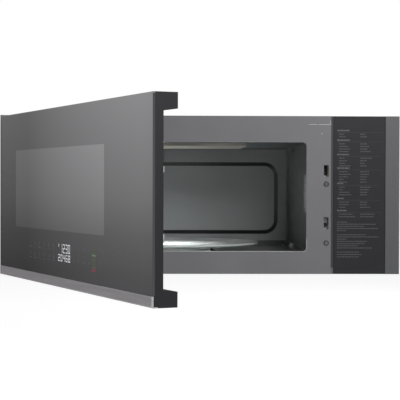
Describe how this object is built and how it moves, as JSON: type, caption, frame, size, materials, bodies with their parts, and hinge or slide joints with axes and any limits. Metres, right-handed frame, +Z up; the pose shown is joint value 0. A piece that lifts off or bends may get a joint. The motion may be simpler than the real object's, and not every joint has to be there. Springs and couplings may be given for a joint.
{
  "type": "over-the-range microwave oven",
  "caption": "Wide low microwave oven for mounting above a range, with a left-hinged glass door, turntable, ventilation blower, grease filters and a top exhaust collar.",
  "frame": {"origin": "on the wall, at the back face of the wall plate, in the middle of the housing's width and level with its underside", "axes": "+X to the viewer's right, the front faces -Y, +Z up"},
  "size_m": [0.759, 1.1007, 0.313],
  "materials": {
    "zinc_sheet": "zinc-coated sheet",
    "case_paint": "dark grey powder coat",
    "underside_paint": "grey powder coat",
    "front_paint": "grey enamel",
    "dark_moulding": "dark moulding",
    "guide_film": "dark satin panel with a printed chart",
    "trim_strip": "satin grey strip",
    "cavity_enamel": "grey speckled enamel",
    "screen_sheet": "perforated sheet",
    "cover_moulding": "pale mica-like cover",
    "lamp_moulding": "pale lamp holder",
    "motor_can": "drawn steel can",
    "shaft_steel": "ground steel",
    "white_moulding": "off-white moulding",
    "tray_glass": "clear pressed glass",
    "core_steel": "varnished laminated steel",
    "aluminium_can": "aluminium",
    "board_laminate": "circuit board laminate",
    "fan_moulding": "grey fan moulding",
    "switch_moulding": "black switch case",
    "plunger_moulding": "switch plunger",
    "filter_mesh": "layered aluminium mesh",
    "lens_glass": "frosted lens",
    "bushing_rubber": "black bushing",
    "screw_steel": "zinc-plated screws",
    "hinge_steel": "zinc-plated steel",
    "door_moulding": "dark grey moulding",
    "door_glass": "tinted glass with a mirror-like grey coating",
    "brushed_strip": "horizontally brushed grey steel",
    "choke_paint": "black enamel",
    "cover_black": "black moulding",
    "inner_glass": "clear pane",
    "display_lens": "dark display block",
    "latch_moulding": "off-white moulding",
    "spring_steel": "spring wire"
  },
  "bodies": {
    "housing": {"wall_plate": "zinc_sheet", "rear_panel": "zinc_sheet", "outer_case": "case_paint", "base_plate": "underside_paint", "front_frame": "front_paint", "panel_carrier": "dark_moulding", "guide_panel": "guide_film", "side_trim": "trim_strip", "cavity_shell": "cavity_enamel", "vent_screen": "screen_sheet", "ceiling_cover": "cover_moulding", "cavity_lamp": "lamp_moulding", "turntable_motor": "motor_can", "waveguide": "zinc_sheet", "magnetron": "zinc_sheet", "hv_transformer": "core_steel", "hv_capacitor": "aluminium_can", "hv_diode": "dark_moulding", "power_board": "board_laminate", "thermal_cutouts": "zinc_sheet", "fan_shroud": "dark_moulding", "fan_motor": "core_steel", "blower_housing": "zinc_sheet", "blower_motor": "motor_can", "exhaust_duct": "zinc_sheet", "exhaust_adapter": "zinc_sheet", "latch_board": "white_moulding", "door_switches": "switch_moulding", "lamp_modules": "lamp_moulding", "lamp_lenses": "lens_glass", "cord_bushing": "bushing_rubber", "housing_screws": "screw_steel", "hinge_upper": "hinge_steel", "hinge_lower": "hinge_steel"},
    "door": {"door_frame": "door_moulding", "door_glass": "door_glass", "door_trim_strip": "brushed_strip", "door_choke": "choke_paint", "choke_cover": "cover_black", "door_screen": "screen_sheet", "inner_window": "inner_glass", "touch_board": "board_laminate", "display_module": "display_lens", "latch_spring": "spring_steel"},
    "latch": {"door_latch": "latch_moulding"},
    "turntable_drive": {"motor_shaft": "shaft_steel", "drive_coupler": "white_moulding"},
    "turntable": {"glass_turntable": "tray_glass"},
    "roller_ring": {"roller_ring": "white_moulding"},
    "wheel_1": {"roller_wheel_1": "dark_moulding"},
    "wheel_2": {"roller_wheel_2": "dark_moulding"},
    "wheel_3": {"roller_wheel_3": "dark_moulding"},
    "blower_wheel": {"blower_wheel": "fan_moulding"},
    "cooling_fan": {"cooling_fan": "fan_moulding"},
    "damper": {"damper_flap": "aluminium_can"},
    "plunger_1": {"switch_plunger_1": "plunger_moulding"},
    "plunger_2": {"switch_plunger_2": "plunger_moulding"},
    "plunger_3": {"switch_plunger_3": "plunger_moulding"},
    "filter_left": {"grease_filter_left": "filter_mesh"},
    "filter_right": {"grease_filter_right": "filter_mesh"}
  },
  "joints": [
    {"name": "door_hinge", "type": "hinge", "parent": "housing", "child": "door", "pos_m": [-0.3585, -0.447, 0.15], "axis": [0, 0, -1], "range_deg": [-66.2, 28.8]},
    {"name": "latch_slide", "type": "slide", "parent": "door", "child": "latch", "axis": [0, 0, 1], "range_m": [0, 0.0035], "stiffness_N_per_m": 400, "deforming": ["latch_spring"]},
    {"name": "turntable_spin", "type": "hinge", "parent": "housing", "child": "turntable_drive", "pos_m": [-0.058, -0.233, 0.03], "axis": [0, 0, 1], "continuous": true},
    {"name": "turntable_lift", "type": "slide", "parent": "turntable_drive", "child": "turntable", "axis": [0, 0, 1], "range_m": [0, 0.05]},
    {"name": "ring_spin", "type": "hinge", "parent": "housing", "child": "roller_ring", "pos_m": [-0.058, -0.233, 0.04115], "axis": [0, 0, 1], "continuous": true},
    {"name": "wheel_1_spin", "type": "hinge", "parent": "roller_ring", "child": "wheel_1", "pos_m": [0.02717, -0.29695, 0.04115], "axis": [0.7997, -0.6004, 0], "continuous": true},
    {"name": "wheel_2_spin", "type": "hinge", "parent": "roller_ring", "child": "wheel_2", "pos_m": [-0.04521, -0.12727, 0.04115], "axis": [0.1201, 0.9928, 0], "continuous": true},
    {"name": "wheel_3_spin", "type": "hinge", "parent": "roller_ring", "child": "wheel_3", "pos_m": [-0.15596, -0.27478, 0.04115], "axis": [-0.9198, -0.3923, 0], "continuous": true},
    {"name": "blower_spin", "type": "hinge", "parent": "housing", "child": "blower_wheel", "pos_m": [0.268, -0.088, 0.15], "axis": [1, 0, 0], "continuous": true},
    {"name": "cooling_fan_spin", "type": "hinge", "parent": "housing", "child": "cooling_fan", "pos_m": [0.322, -0.265, 0.19], "axis": [1, 0, 0], "continuous": true},
    {"name": "damper_hinge", "type": "hinge", "parent": "housing", "child": "damper", "pos_m": [0, -0.0908, 0.307], "axis": [1, 0, 0], "range_deg": [0, 75]},
    {"name": "plunger_1_slide", "type": "slide", "parent": "housing", "child": "plunger_1", "axis": [0, 1, 0], "range_m": [0, 0.0014], "stiffness_N_per_m": 500},
    {"name": "plunger_2_slide", "type": "slide", "parent": "housing", "child": "plunger_2", "axis": [0, 1, 0], "range_m": [0, 0.0014], "stiffness_N_per_m": 500},
    {"name": "plunger_3_slide", "type": "slide", "parent": "housing", "child": "plunger_3", "axis": [0, 1, 0], "range_m": [0, 0.0014], "stiffness_N_per_m": 500},
    {"name": "filter_left_slide", "type": "slide", "parent": "housing", "child": "filter_left", "axis": [1, 0, 0], "range_m": [0, 0.012]},
    {"name": "filter_right_slide", "type": "slide", "parent": "housing", "child": "filter_right", "axis": [1, 0, 0], "range_m": [0, 0.012]}
  ],
  "couplings": [
    {"joint": "ring_spin", "follows": "turntable_spin", "ratio": 0.5},
    {"joint": "wheel_1_spin", "follows": "turntable_spin", "ratio": -10.65},
    {"joint": "wheel_2_spin", "follows": "turntable_spin", "ratio": -10.65},
    {"joint": "wheel_3_spin", "follows": "turntable_spin", "ratio": -10.65}
  ]
}
